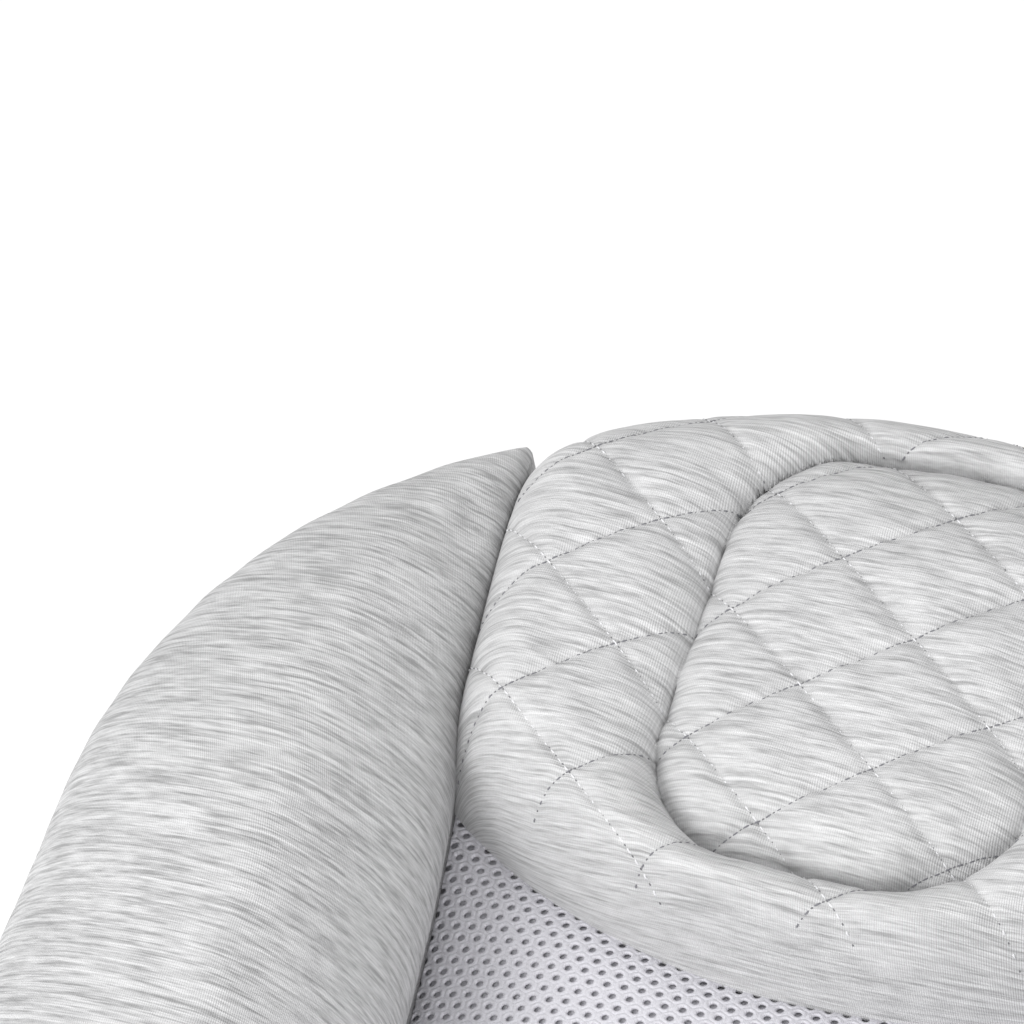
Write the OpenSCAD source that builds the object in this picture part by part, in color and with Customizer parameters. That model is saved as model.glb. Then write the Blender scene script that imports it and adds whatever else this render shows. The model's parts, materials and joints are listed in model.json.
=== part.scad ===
// Fold-flat baby bouncer seat on a sprung two-arm frame.
// X runs across the seat, +Y points to the head end, +Z is up, and the origin is on the floor
// under the middle of the seat. All sizes are in millimetres.

/* [Seat ring] */
// Overall width of the padded seat
seat_w = 394; // [388:1:396]
// Straight run of the backrest along its slope
back_len = 430; // [425:1:435]
// Radius of the bend under the hips
bend_r = 260; // [255:1:265]
// Straight run under the calves
calf_len = 100; // [95:1:105]
// Slope of the backrest from level
back_deg = 28; // [27.5:0.5:28.5]
// Rise of the calf end from level
calf_deg = 18; // [17:0.5:19]
// Distance from the head end to the widest line
head_half = 155; // [153:1:157]
// Diameter of the steel ring tube
ring_d = 20; // [18:1:20]
// Distance from the padded edge to the ring tube's centre line
ring_inset = 26; // [25:1:27]
// Depth of the ring tube's centre line below the ring surface
ring_drop = 20; // [20:1:21]

/* [Padding] */
// Front thickness of the side bolsters over the ring
bolster_front = 34; // [30:1:36]
// Thickness of the side bolsters behind the ring
bolster_back = 33; // [32:1:35]
// Height of the quilted head insert over its backing
insert_puff = 22; // [18:1:24]
// Thickness of the mesh seat pad
pad_t = 16; // [12:1:18]
// Thickness of the woven support sling
sling_t = 3; // [2:0.5:4]
// Depth of the seat under the hips
hip_depth = 94; // [86:1:98]

/* [Harness] */
// Width of the harness webbing
strap_w = 25; // [20:1:28]
// Thickness of the harness webbing
strap_t = 1.6; // [1.2:0.1:2]
// Distance of the buckle from the head end, along the seat
buckle_s = 402; // [396:1:406]

/* [Frame] */
// Distance from the middle to each floor rail
rail_x = 182; // [181:0.5:183]
// Diameter of the floor rails
rail_d = 22; // [20:1:22]
// Place of the rear cross rail
rear_y = 262; // [250:1:280]
// Place of the folding pivots
front_y = -300; // [-302:1:-298]
// Height of the folding pivots
pivot_z = 42; // [42:0.5:43]
// Place of the recline hubs
hub_y = -10; // [-12:1:-8]
// Height of the recline hubs
hub_z = 165; // [163:1:168]
// Diameter of the sprung arms
arm_d = 16; // [14:1:16]
// Radius of the recline hubs
hub_r = 28; // [26:1:28]

/* [Hidden] */

round_fn = 64;
gap = 0.3;
run_fit = 0.05;
snug_fit = 0.02;
wall_t = 1.4;

// Side profile of the seat: straight backrest, bend, straight calf rest.
join = [-41.9, 240];
bend_len = bend_r * (back_deg + calf_deg) * PI / 180;
ring_len = back_len + bend_len + calf_len;
foot_half = ring_len - head_half;
half_w = seat_w / 2;
head_n = 2.2;
foot_n = 2.6;

// Lines where the padding is sewn, measured from the head end along the seat.
insert_end = 152;
insert_rise = 28;
cushion_start = 640;
seam_head = 115;
seam_slope = 0.125;
seam_mid = 96;
seam_foot = 70;

function ease(a, b, x) = let (t = max(0, min(1, (x - a) / (b - a)))) t * t * (3 - 2 * t);
function dome(d, r) = sqrt(1 - pow(1 - min(1, max(0, d / r)), 2));
function mix(a, b, t) = a + (b - a) * t;
function unit(v) = v / norm(v);

// Slope of the seat at distance s from the head end, and the side profile point there.
function tilt(s) = max(-calf_deg, min(back_deg, back_deg - (s - back_len) / bend_r * 180 / PI));
function bend_at(t) = join + bend_r * [sin(t) - sin(back_deg), cos(back_deg) - cos(t)];
function spine(s) =
  s < back_len ? join + (back_len - s) * [cos(back_deg), sin(back_deg)]
  : s < back_len + bend_len ? bend_at(tilt(s))
  : bend_at(-calf_deg) + (s - back_len - bend_len) * [-cos(calf_deg), sin(calf_deg)];

// u across, s along the seat from the head end, w above the ring surface.
function place(u, s, w) = let (c = spine(s), t = tilt(s)) [u, c[0] - w * sin(t), c[1] + w * cos(t)];

// Half-width of the egg-shaped outline at distance s, inset by a margin.
function outline(s, inset = 0) =
  let (n = s < head_half ? head_n : foot_n)
  let (x = abs(s - head_half) / ((s < head_half ? head_half : foot_half) - inset))
  x >= 1 ? 0 : (half_w - inset) * pow(1 - pow(x, n), 1 / n);
function head_edge(u) = head_half * (1 - pow(1 - pow(abs(u) / half_w, head_n), 1 / head_n));
function foot_edge(u) = head_half + foot_half * pow(1 - pow(abs(u) / half_w, foot_n), 1 / foot_n);
function seam(s) =
  mix(min(seam_head, max(seam_mid, seam_head - seam_slope * (s - 27))), seam_foot, ease(500, 660, s));
function seam_depth(s) = -5 - 45 * ease(20, 190, s) + 45 * ease(590, 700, s);
function middle_depth(s) = -24 - (hip_depth - 24) * ease(180, 420, s) + 55 * ease(480, 680, s);
function pad_top(u, s) =
  let (a = min(1, abs(u) / seam(s))) mix(middle_depth(s), seam_depth(s), a * a);

// Closed skin through rings of points; each ring runs out along one side and back on the other.
module loft(rings) {
  n = len(rings[0]);
  m = len(rings);
  points = [for (ring = rings) for (p = ring) p];
  walls = [
    for (i = [0:m - 2]) for (j = [0:n - 1])
      let (a = i * n + j, b = i * n + (j + 1) % n)
      each [[a, a + n, b], [b, a + n, b + n]]
  ];
  near = [for (j = [0:n / 2 - 2]) each [[j, j + 1, n - 2 - j], [j, n - 2 - j, n - 1 - j]]];
  far = [for (f = near) [f[2], f[1], f[0]] + (m - 1) * n * [1, 1, 1]];
  polyhedron(points, concat(walls, near, far));
}

// Hollow version: the same rings inside and outside, joined across both ends.
module hollow_loft(outer, inner) {
  n = len(outer[0]);
  m = len(outer);
  inside = n * m;
  points = [for (ring = concat(outer, inner)) for (p = ring) p];
  walls = [
    for (i = [0:m - 2]) for (j = [0:n - 1])
      let (a = i * n + j, b = i * n + (j + 1) % n, c = a + inside, d = b + inside)
      each [[a, a + n, b], [b, a + n, b + n], [d, c + n, c], [d + n, c + n, d]]
  ];
  near = [
    for (j = [0:n - 1])
      let (b = (j + 1) % n) each [[j, b, j + inside], [b, b + inside, j + inside]]
  ];
  far = [for (f = near) [f[2], f[1], f[0]] + (m - 1) * n * [1, 1, 1]];
  polyhedron(points, concat(walls, near, far));
}

// Tube bent along the ring, from one angle round the outline to another.
function ring_point(angle) =
  let (n = cos(angle) >= 0 ? head_n : foot_n)
  let (reach = (cos(angle) >= 0 ? head_half : foot_half) - ring_inset)
  let (u = sign(sin(angle)) * (half_w - ring_inset) * pow(abs(sin(angle)), 2 / n))
  [u, head_half - sign(cos(angle)) * reach * pow(abs(cos(angle)), 2 / n)];
function ring_xyz(angle) = let (q = ring_point(angle)) place(q[0], q[1], -ring_drop);
function tube_ring(angle, r) =
  let (p = ring_xyz(angle), t = tilt(ring_point(angle)[1]))
  let (along = unit(ring_xyz(angle + 0.5) - ring_xyz(angle - 0.5)))
  let (up = unit([0, -sin(t), cos(t)] - along * ([0, -sin(t), cos(t)] * along)))
  let (side = cross(along, up))
  [for (k = [0:13]) let (a = 360 * (k + 0.5) / 14) p + r * (side * cos(a) + up * sin(a))];
module ring_tube(from, to, count) {
  hollow_loft(
    [for (i = [0:count]) tube_ring(mix(from, to, i / count), ring_d / 2)],
    [for (i = [0:count]) tube_ring(mix(from, to, i / count), ring_d / 2 - wall_t)]
  );
}

// The two hoops meet inside the hub brackets.
split_s = back_len - (hub_y - ring_drop * sin(back_deg) - join[0]) / cos(back_deg);
split_u = outline(split_s, ring_inset);
split_taper = atan(outline(split_s - 0.5, ring_inset) - outline(split_s + 0.5, ring_inset));
split_angle = acos(-pow((split_s - head_half) / (foot_half - ring_inset), foot_n / 2));

module head_hoop() {
  color("dimgray") ring_tube(-split_angle, split_angle, 44);
}

module foot_hoop() {
  color("dimgray") ring_tube(split_angle, 360 - split_angle, 44);
}

// Bolster: a soft roll from the sewn seam to the outer edge.
bolster_from = 25;
bolster_to = ring_len - 17;
function bolster_ring(s) =
  let (inner = seam(s), width = max(2, outline(s) - inner))
  let (thick = sqrt(min(1, width / 60)))
  [
    for (k = [0:19])
      let (angle = 18 * k, square = 0.8)
      let (a = 0.5 + 0.5 * sign(cos(angle)) * pow(abs(cos(angle)), square))
      let (base = seam_depth(s) * pow(1 - a, 2))
      let (h = (sin(angle) > 0 ? bolster_front : bolster_back) * thick)
      place(inner + width * a, s, base + h * sign(sin(angle)) * pow(abs(sin(angle)), square))
  ];
module bolster() {
  color("lightgray")
    loft([for (i = [0:36]) bolster_ring(mix(bolster_from, bolster_to, 0.5 - 0.5 * cos(5 * i)))]);
}

// Ends of the padding wrap over the ring: one section at each place across.
roll_r = 34;
// edge is the outer rim, inner the sewn edge, both as distances from the head end.
function wrap_ring(u_share, edge, inner, side_gap, puff) =
  let (top = [for (i = [0:14]) wrap_point(u_share, edge, inner, side_gap, i / 14, 3 + puff, 1)])
  let (low = [for (i = [0:14]) wrap_point(u_share, edge, inner, side_gap, 1 - i / 14, 2, -1)])
  concat(top, low);
function wrap_point(u_share, edge, inner, side_gap, t, puff, face) =
  let (s = mix(edge, inner, t), d = abs(s - edge), half = seam(s) - side_gap)
  let (base = t * pad_top(u_share * half, inner))
  let (soft = dome(d, 26) * dome(abs(inner - s), 16) * dome((1 - abs(u_share)) * half, 18))
  let (roll = sqrt(max(0, 1 - pow((d - roll_r) / roll_r, 2))))
  place(u_share * half, s, base + (face > 0 ? 2 + puff * soft : -2 - 28 * roll - 12 * t));

module head_insert() {
  color("silver")
    loft([
      for (i = [-12:12])
        let (a = i / 12)
        wrap_ring(a, head_edge(a * 112), insert_end - insert_rise * a * a, 0.6, insert_puff)
    ]);
}

module foot_cushion() {
  color("lightgray")
    loft([
      for (i = [8:-1:-8])
        let (a = i / 8)
        wrap_ring(a, foot_edge(a * seam_foot), cushion_start, 0.6, 14)
    ]);
}

// Sheet that follows the seat between the seams, between two depths under the pad's face.
module seat_sheet(high, low, edge_gap, start_gap) {
  loft([
    for (j = [0:30])
      let (row = [for (i = [-12:12]) sheet_cell(i / 12, j / 30, edge_gap, start_gap)])
      concat(
        [for (c = row) place(c[0], c[1], pad_top(c[0], c[1]) - high)],
        [for (i = [24:-1:0]) place(row[i][0], row[i][1], pad_top(row[i][0], row[i][1]) - low)]
      )
  ]);
}
function sheet_cell(a, b, edge_gap, start_gap) =
  let (s = mix(insert_end - insert_rise * a * a + start_gap, cushion_start - 1, b))
  [a * (seam(s) - edge_gap), s];

module seat_pad() {
  color("gainsboro") seat_sheet(0, pad_t, 1, 1);
}

module support_sling() {
  color("dimgray") seat_sheet(pad_t + 0.6, pad_t + 0.6 + sling_t, 1, 3);
}

// Harness: everything is set out from the buckle's own place on the seat.
buckle = [46, 38, 14];
buckle_w = middle_depth(buckle_s) + 8;
tongue = [28, 19, 2.4];
tongue_z = 6;
tongue_from = 16;
button_r = 8;
button_gap = 0.3;

module on_seat(s, w) {
  translate(place(0, s, w)) rotate([tilt(s), 0, 0]) children();
}

module rounded_block(size, r) {
  for (x = [-1, 1]) for (y = [-1, 1])
    translate([x * (size[0] / 2 - r), y * (size[1] / 2 - r), 0])
      cylinder(h = size[2], r = r, $fn = round_fn);
  translate([-size[0] / 2 + r, -size[1] / 2, 0]) cube([size[0] - 2 * r, size[1], size[2]]);
  translate([-size[0] / 2, -size[1] / 2 + r, 0]) cube([size[0], size[1] - 2 * r, size[2]]);
}

module buckle_body() {
  color("darkslategray")
    on_seat(buckle_s, buckle_w)
      difference() {
        rounded_block(buckle, 9);
        translate([0, 0, 6.5]) cylinder(h = buckle[2], r = button_r + button_gap, $fn = round_fn);
        for (side = [-1, 1])
          translate([side * 19.7 - 4.3, -tongue[1] / 2 - gap, tongue_z - gap])
            cube([8.6, tongue[1] + 2 * gap, tongue[2] + 2 * gap]);
      }
}

module buckle_button() {
  color("gray")
    on_seat(buckle_s, buckle_w)
      translate([0, 0, 10]) cylinder(h = 5.5, r = button_r, $fn = round_fn);
}

module buckle_tongues() {
  color("slategray")
    on_seat(buckle_s, buckle_w)
      for (side = [0, 1]) mirror([side, 0, 0])
        translate([tongue_from, -tongue[1] / 2, tongue_z])
          difference() {
            cube(tongue);
            translate([19, 2.5, -1]) cube([5, tongue[1] - 5, tongue[2] + 2]);
          }
}

// Half of the waist belt, from the buckle's tongue out to the sewn seam.
strap_from = tongue_from + tongue[0] + gap;
function belt_w(u, s) =
  mix(buckle_w + tongue_z + 0.4, pad_top(u, s) + 3.6, ease(strap_from, 76, u));
module waist_strap() {
  to = seam(buckle_s) - 3;
  color("darkgray")
    loft([
      for (i = [10:-1:0])
        let (u = mix(strap_from, to, i / 10))
        let (up = buckle_s - strap_w / 2, down = buckle_s + strap_w / 2)
        [
          place(u, up, belt_w(u, up) + strap_t),
          place(u, down, belt_w(u, down) + strap_t),
          place(u, down, belt_w(u, down)),
          place(u, up, belt_w(u, up))
        ]
    ]);
}

module crotch_strap() {
  from = buckle_s + buckle[1] / 2 + gap;
  to = from + 34;
  color("darkgray")
    loft([
      for (i = [0:8])
        let (s = mix(from, to, i / 8))
        let (low = mix(buckle_w + 5, pad_top(strap_w / 2, s) + 0.5, ease(0, 8, i)))
        [
          place(-strap_w / 2, s, low + strap_t),
          place(strap_w / 2, s, low + strap_t),
          place(strap_w / 2, s, low),
          place(-strap_w / 2, s, low)
        ]
    ]);
}

// Hub bracket: a clamp round the ring joint and a plate down to the recline axle.
plate_x = 160;
plate_t = 13;
axle_r = 4;
ring_at_hub = place(0, split_s, -ring_drop)[2];
module at_ring_joint() {
  translate(place(split_u, split_s, -ring_drop)) rotate([90 + back_deg, 0, 0])
    rotate([0, -split_taper, 0]) children();
}
module hub_bracket() {
  color("dimgray")
    difference() {
      union() {
        translate([plate_x, 0, 0]) rotate([90, 0, 90]) linear_extrude(plate_t) {
          translate([hub_y, hub_z]) circle(hub_r, $fn = round_fn);
          polygon([
            [hub_y - 25, hub_z + 12], [hub_y + 25, hub_z + 12],
            [hub_y + 17, ring_at_hub + 2], [hub_y - 17, ring_at_hub + 2]
          ]);
        }
        at_ring_joint() cylinder(h = 46, r = ring_d / 2 + 4, center = true, $fn = round_fn);
      }
      at_ring_joint() cylinder(h = 90, r = ring_d / 2 + run_fit, center = true, $fn = round_fn);
      translate([plate_x - 1, hub_y, hub_z]) rotate([0, 90, 0])
        cylinder(h = plate_t + 2, r = axle_r + run_fit, $fn = round_fn);
    }
}

// Arms: sockets at the folding pivots carry the sprung tubes up to the recline hubs.
arm_x = 182.4;
arm_deg = atan2(hub_z - pivot_z, hub_y - front_y);
arm_len = norm([hub_y - front_y, hub_z - pivot_z]);
flex_at = 34;
socket_end = 62;
arm_stop = 17;
hub_in = 173.3;
hub_out = 191.5;
cap_r = 13;
cap_depth = 7;
shaft_r = 5;

module along_arm(distance) {
  translate([arm_x, front_y, pivot_z]) rotate([arm_deg - 90, 0, 0]) translate([0, 0, distance])
    children();
}

module arm_tube() {
  color("whitesmoke")
    along_arm(flex_at + 0.6)
      difference() {
        cylinder(h = arm_len - arm_stop - flex_at - 0.6, r = arm_d / 2, $fn = round_fn);
        translate([0, 0, -1]) cylinder(h = arm_len, r = arm_d / 2 - wall_t, $fn = round_fn);
      }
}

module carrier() {
  color("dimgray")
    difference() {
      union() {
        translate([hub_in, front_y, pivot_z]) rotate([0, 90, 0])
          cylinder(h = hub_out - hub_in - 0.8, r = 12, $fn = round_fn);
        along_arm(0) cylinder(h = 20, r = 8.6, $fn = round_fn);
        along_arm(16.6) cylinder(h = socket_end - 16.6, r = 12.5, $fn = round_fn);
      }
      along_arm(flex_at - 1)
        cylinder(h = socket_end - flex_at + 1.01, r1 = arm_d / 2 + 0.4, r2 = 10.8, $fn = round_fn);
      translate([hub_in - 1, front_y, pivot_z]) rotate([0, 90, 0])
        cylinder(h = 22, r = shaft_r + snug_fit, $fn = round_fn);
    }
}

module arm_hub() {
  color("dimgray")
    difference() {
      translate([hub_in, hub_y, hub_z]) rotate([0, 90, 0])
        cylinder(h = hub_out - hub_in, r = hub_r, $fn = round_fn);
      along_arm(arm_len - arm_stop)
        rotate([180, 0, 0]) cylinder(h = 40, r = arm_d / 2 + snug_fit, $fn = round_fn);
      translate([hub_out - cap_depth, hub_y, hub_z]) rotate([0, 90, 0])
        cylinder(h = cap_depth + 1, r = cap_r + gap, $fn = round_fn);
      translate([hub_in - 1, hub_y, hub_z]) rotate([0, 90, 0])
        cylinder(h = 30, r = axle_r + snug_fit, $fn = round_fn);
    }
}

module hub_axles() {
  color("silver")
    for (side = [0, 1]) mirror([side, 0, 0])
      translate([plate_x - gap - 2, hub_y, hub_z]) rotate([0, 90, 0]) {
        cylinder(h = 2, r = 7, $fn = round_fn);
        cylinder(h = hub_out - cap_depth - 1 - plate_x + gap + 2, r = axle_r, $fn = round_fn);
      }
}

module recline_button() {
  color("gray")
    translate([hub_out - 3.5, hub_y, hub_z]) rotate([0, 90, 0])
      difference() {
        cylinder(h = 5.5, r = cap_r, $fn = round_fn);
        translate([0, 0, 4.7]) cylinder(h = 2, r = cap_r - 3.5, $fn = round_fn);
      }
}

// Base: a floor loop of two rails, front housings with the folding pivots, and feet.
rail_r = rail_d / 2;
rail_z = 16;
corner_r = 60;
screw_x = 18;
housing_in = 164;
housing_out = 198;
cheek_t = 8.7;
housing_top = 28;
housing_low = 3;
housing_front = front_y - 22;
housing_back = front_y + 28;

module rail_run(r, past) {
  translate([rail_x, front_y - past, rail_z]) rotate([-90, 0, 0])
    cylinder(h = rear_y - corner_r - front_y + past, r = r, $fn = round_fn);
  translate([rail_x - corner_r, rear_y - corner_r, rail_z])
    rotate_extrude(angle = 90, $fn = 96) translate([corner_r, 0]) circle(r, $fn = round_fn);
  translate([1 - past, rear_y, rail_z]) rotate([0, 90, 0])
    cylinder(h = rail_x - corner_r - 1 + past, r = r, $fn = round_fn);
}
module floor_rail() {
  color("whitesmoke")
    difference() {
      rail_run(rail_r, 0);
      rail_run(rail_r - wall_t, 1);
      translate([screw_x, rear_y, rail_z]) cylinder(h = 20, r = 2, $fn = round_fn);
    }
}

module rear_coupler() {
  color("dimgray")
    difference() {
      translate([-32, rear_y, rail_z]) rotate([0, 90, 0]) cylinder(h = 64, r = 14, $fn = round_fn);
      translate([-33, rear_y, rail_z]) rotate([0, 90, 0])
        cylinder(h = 66, r = rail_r + snug_fit, $fn = round_fn);
      for (x = [-screw_x, screw_x]) translate([x, rear_y, rail_z]) {
        cylinder(h = 20, r = 2, $fn = round_fn);
        translate([0, 0, 12.5]) cylinder(h = 10, r = 4, $fn = round_fn);
      }
    }
}

module pan_screw(shank) {
  difference() {
    union() {
      cylinder(h = 2, r = 3.7, $fn = round_fn);
      translate([0, 0, -shank]) cylinder(h = shank + 1, r = 1.95, $fn = round_fn);
    }
    for (turn = [0, 90]) rotate(turn) translate([-2, -0.4, 1]) cube([4, 0.8, 2]);
  }
}

module coupler_screws() {
  color("silver")
    for (x = [-screw_x, screw_x]) translate([x, rear_y, rail_z + 12.5]) pan_screw(8);
}

module front_housing() {
  color("dimgray")
    difference() {
      union() {
        translate([housing_in, housing_front, housing_low])
          cube([housing_out - housing_in, housing_back - housing_front, housing_top - housing_low]);
        for (x = [housing_in, housing_out - cheek_t + 2]) translate([x, front_y, pivot_z]) {
          rotate([0, 90, 0]) cylinder(h = cheek_t - (x > housing_in ? 2 : 0), r = 15, $fn = round_fn);
          translate([0, -15, housing_top - pivot_z - 1])
            cube([cheek_t - (x > housing_in ? 2 : 0), 30, pivot_z - housing_top + 1]);
        }
      }
      translate([rail_x, front_y, rail_z]) rotate([-90, 0, 0])
        cylinder(h = 40, r = rail_r + snug_fit, $fn = round_fn);
      translate([housing_in - 1, front_y, pivot_z]) rotate([0, 90, 0])
        cylinder(h = 40, r = shaft_r + run_fit, $fn = round_fn);
      translate([housing_in - 1, front_y - 9, rail_z]) rotate([0, 90, 0])
        cylinder(h = 9, r = 8.02, $fn = round_fn);
      translate([rail_x, housing_front - 1, rail_z]) rotate([-90, 0, 0])
        cylinder(h = 12, r = 6.3, $fn = round_fn);
      translate([rail_x, front_y + 20, housing_low - 1]) cylinder(h = 8, r = 2, $fn = round_fn);
    }
}

module housing_screws() {
  color("silver")
    for (side = [0, 1]) mirror([side, 0, 0])
      translate([rail_x, front_y + 20, housing_low - 1]) difference() {
        cylinder(h = 2.9, r = 1.95, $fn = round_fn);
        translate([-1.4, -0.3, -1]) cube([2.8, 0.6, 1.5]);
      }
}

module front_cross_tube() {
  color("whitesmoke")
    translate([0, front_y - 9, rail_z]) rotate([0, 90, 0])
      difference() {
        cylinder(h = 2 * housing_in + 14, r = 8, center = true, $fn = round_fn);
        cylinder(h = 2 * housing_in + 16, r = 8 - wall_t, center = true, $fn = round_fn);
      }
}

module fold_button() {
  color("gray")
    translate([rail_x, housing_front - 4, rail_z]) rotate([-90, 0, 0])
      cylinder(h = 9, r = 6, $fn = round_fn);
}

module fold_shaft() {
  color("silver") translate([0, front_y, pivot_z]) rotate([0, 90, 0])
    cylinder(h = 2 * housing_out - 1, r = shaft_r, center = true, $fn = round_fn);
}

module shaft_sleeve() {
  color("gray") translate([0, front_y, pivot_z]) rotate([0, 90, 0])
    difference() {
      cylinder(h = 2 * housing_in - 2, r = 8, center = true, $fn = round_fn);
      cylinder(h = 2 * housing_in, r = shaft_r + run_fit, center = true, $fn = round_fn);
    }
}

// Rubber: saddles under the rear corners and thin pads under the front housings.
module rubber_feet() {
  color("dimgray")
    for (side = [0, 1]) mirror([side, 0, 0])
      difference() {
        translate([rail_x - 15, rear_y - corner_r - 55, 0]) cube([30, 50, rail_z]);
        translate([rail_x, rear_y - corner_r - 60, rail_z]) rotate([-90, 0, 0])
          cylinder(h = 60, r = rail_r + snug_fit, $fn = round_fn);
      }
}

module front_pads() {
  color("dimgray")
    for (side = [0, 1]) mirror([side, 0, 0])
      translate([(housing_in + housing_out) / 2, (housing_front + housing_back) / 2, 0])
        difference() {
          rounded_block([32, 48, housing_low], 6);
          translate([rail_x - (housing_in + housing_out) / 2, 17, -1])
            cylinder(h = 8, r = 2.2, $fn = round_fn);
        }
}

module left() {
  mirror([1, 0, 0]) children();
}

head_hoop();
foot_hoop();
left() hub_bracket();  // hub_bracket_left
hub_bracket();  // hub_bracket_right
left() bolster();  // bolster_left
bolster();  // bolster_right
head_insert();
seat_pad();
support_sling();
foot_cushion();
crotch_strap();
left() waist_strap();  // waist_strap_left
waist_strap();  // waist_strap_right
buckle_body();
buckle_tongues();
buckle_button();
left() floor_rail();  // floor_rail_left
floor_rail();  // floor_rail_right
rear_coupler();
coupler_screws();
front_cross_tube();
left() front_housing();  // front_housing_left
front_housing();  // front_housing_right
housing_screws();
rubber_feet();
front_pads();
left() fold_button();  // fold_button_left
fold_button();  // fold_button_right
fold_shaft();
shaft_sleeve();
left() carrier();  // carrier_left
carrier();  // carrier_right
left() arm_tube();  // arm_tube_left
arm_tube();  // arm_tube_right
left() arm_hub();  // arm_hub_left
arm_hub();  // arm_hub_right
hub_axles();
left() recline_button();  // recline_button_left
recline_button();  // recline_button_right
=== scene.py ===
"""Looks for the bouncer seat: quilted and padded fabric, spacer mesh, stitching and finishes."""
import json
import math

import bpy
import numpy as np
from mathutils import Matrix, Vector
from mathutils.kdtree import KDTree


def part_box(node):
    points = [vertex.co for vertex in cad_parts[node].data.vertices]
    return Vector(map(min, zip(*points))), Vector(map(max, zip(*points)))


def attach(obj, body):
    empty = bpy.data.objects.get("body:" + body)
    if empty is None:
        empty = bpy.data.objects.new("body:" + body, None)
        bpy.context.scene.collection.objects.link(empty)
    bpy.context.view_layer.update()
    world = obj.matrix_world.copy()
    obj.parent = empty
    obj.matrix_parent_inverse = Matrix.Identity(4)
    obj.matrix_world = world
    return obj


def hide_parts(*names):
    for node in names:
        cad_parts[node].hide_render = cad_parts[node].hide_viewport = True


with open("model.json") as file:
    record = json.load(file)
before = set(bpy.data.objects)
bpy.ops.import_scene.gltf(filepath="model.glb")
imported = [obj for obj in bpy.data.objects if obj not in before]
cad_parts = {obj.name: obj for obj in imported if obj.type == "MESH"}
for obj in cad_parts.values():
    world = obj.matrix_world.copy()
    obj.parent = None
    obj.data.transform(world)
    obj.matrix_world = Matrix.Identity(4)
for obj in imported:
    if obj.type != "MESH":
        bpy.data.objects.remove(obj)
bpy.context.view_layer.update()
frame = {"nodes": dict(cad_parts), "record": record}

# ---------------------------------------------------------------- seat shape, in millimetres
# u runs across the seat, s along it from the head end and w outwards from the steel ring.
HUB = 1000 * 0.5 * (np.array(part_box("hub_axles")[0]) + np.array(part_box("hub_axles")[1]))
JOIN_AHEAD, JOIN_ABOVE = 31.9, 75.0
JOIN = (HUB[1] - JOIN_AHEAD, HUB[2] + JOIN_ABOVE)
BACK_DEG, CALF_DEG = 28.0, 18.0
BACK_LEN, BEND_R, CALF_LEN = 430.0, 260.0, 100.0
RING_LEN = BACK_LEN + math.radians(BACK_DEG + CALF_DEG) * BEND_R + CALF_LEN
WIDEST_S = 155.0
HALF_W = 194.5
HEAD_REACH = 168.0
FOOT_OVERHANG = 4.0
FOOT_REACH = RING_LEN - WIDEST_S + FOOT_OVERHANG
HEAD_N, FOOT_N = 2.0, 2.6
LATTICE_U, LATTICE_S = 9.0, 25.0
DIAMOND_W, DIAMOND_L = 48.0, 37.4
INSERT_END, INSERT_RISE, INSERT_HALF, INSERT_CURVE = 146.5, 36.0, 108.0, 2.1
RIM_FALL = 6.0
SEAM_HEAD_S, SEAM_HEAD_U, SEAM_TAPER = 27.0, 110.0, 0.045
SEAM_LEAST_U, SEAM_MOST_U, SEAM_FOOT_U = 96.0, 112.0, 71.0
SEAM_RIM, SEAM_DROP = -5.0, 45.0
MIDDLE_RIM, MIDDLE_DROP, MIDDLE_RISE = -20.0, 74.0, 55.0
PAD_CURVE = 2.4
HEAD_ROLL, HEAD_ROLL_S, HEAD_ROLL_LEN = 14.0, 60.0, 74.0
BACK_DEPTH, BACK_ROLL = 34.0, 40.0
SLING_SEAM_LIFT = 14.0
CUSHION_START = 640.0
UP = np.array([0, 0, 1.0])
BACK_NORMAL = np.array([0, -math.sin(math.radians(BACK_DEG)), math.cos(math.radians(BACK_DEG))])


def ease(a, b, x):
    t = np.clip((x - a) / (b - a), 0, 1)
    return t * t * (3 - 2 * t)


def dome(d, r):
    return np.sqrt(np.clip(1 - (1 - np.clip(d / r, 0, 1)) ** 2, 0, 1))


def mix(a, b, t):
    return a + (b - a) * t


def tilt(s):
    turn = (s - BACK_LEN) / BEND_R * 180 / math.pi
    return np.radians(np.clip(BACK_DEG - turn, -CALF_DEG, BACK_DEG))


def place(u, s, w):
    """Seat coordinates in millimetres to row-frame points in metres."""
    u, s, w = np.broadcast_arrays(*(np.asarray(x, float) for x in (u, s, w)))
    t = tilt(s)
    b, c = math.radians(BACK_DEG), math.radians(CALF_DEG)
    y = JOIN[0] + BEND_R * (np.sin(t) - math.sin(b))
    z = JOIN[1] + BEND_R * (math.cos(b) - np.cos(t))
    up = np.clip(BACK_LEN - s, 0, None)
    down = np.clip(s - (RING_LEN - CALF_LEN), 0, None)
    # Above the bend the backrest runs straight; s below zero carries on past the head end.
    y = y + up * math.cos(b) - down * math.cos(c)
    z = z + up * math.sin(b) + down * math.sin(c)
    return np.stack([u, y - w * np.sin(t), z + w * np.cos(t)], -1) * 0.001


def outline(s):
    head = s < WIDEST_S
    n = np.where(head, HEAD_N, FOOT_N)
    x = np.abs(s - WIDEST_S) / np.where(head, HEAD_REACH, FOOT_REACH)
    return HALF_W * np.power(np.clip(1 - np.power(np.clip(x, 0, 1), n), 0, 1), 1 / n)


def head_edge(u):
    x = np.clip(np.abs(u) / HALF_W, 0, 1)
    return WIDEST_S - HEAD_REACH * np.power(1 - np.power(x, HEAD_N), 1 / HEAD_N)


def foot_edge(u):
    x = np.clip(np.abs(u) / HALF_W, 0, 1)
    return WIDEST_S + FOOT_REACH * np.power(1 - np.power(x, FOOT_N), 1 / FOOT_N)


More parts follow.
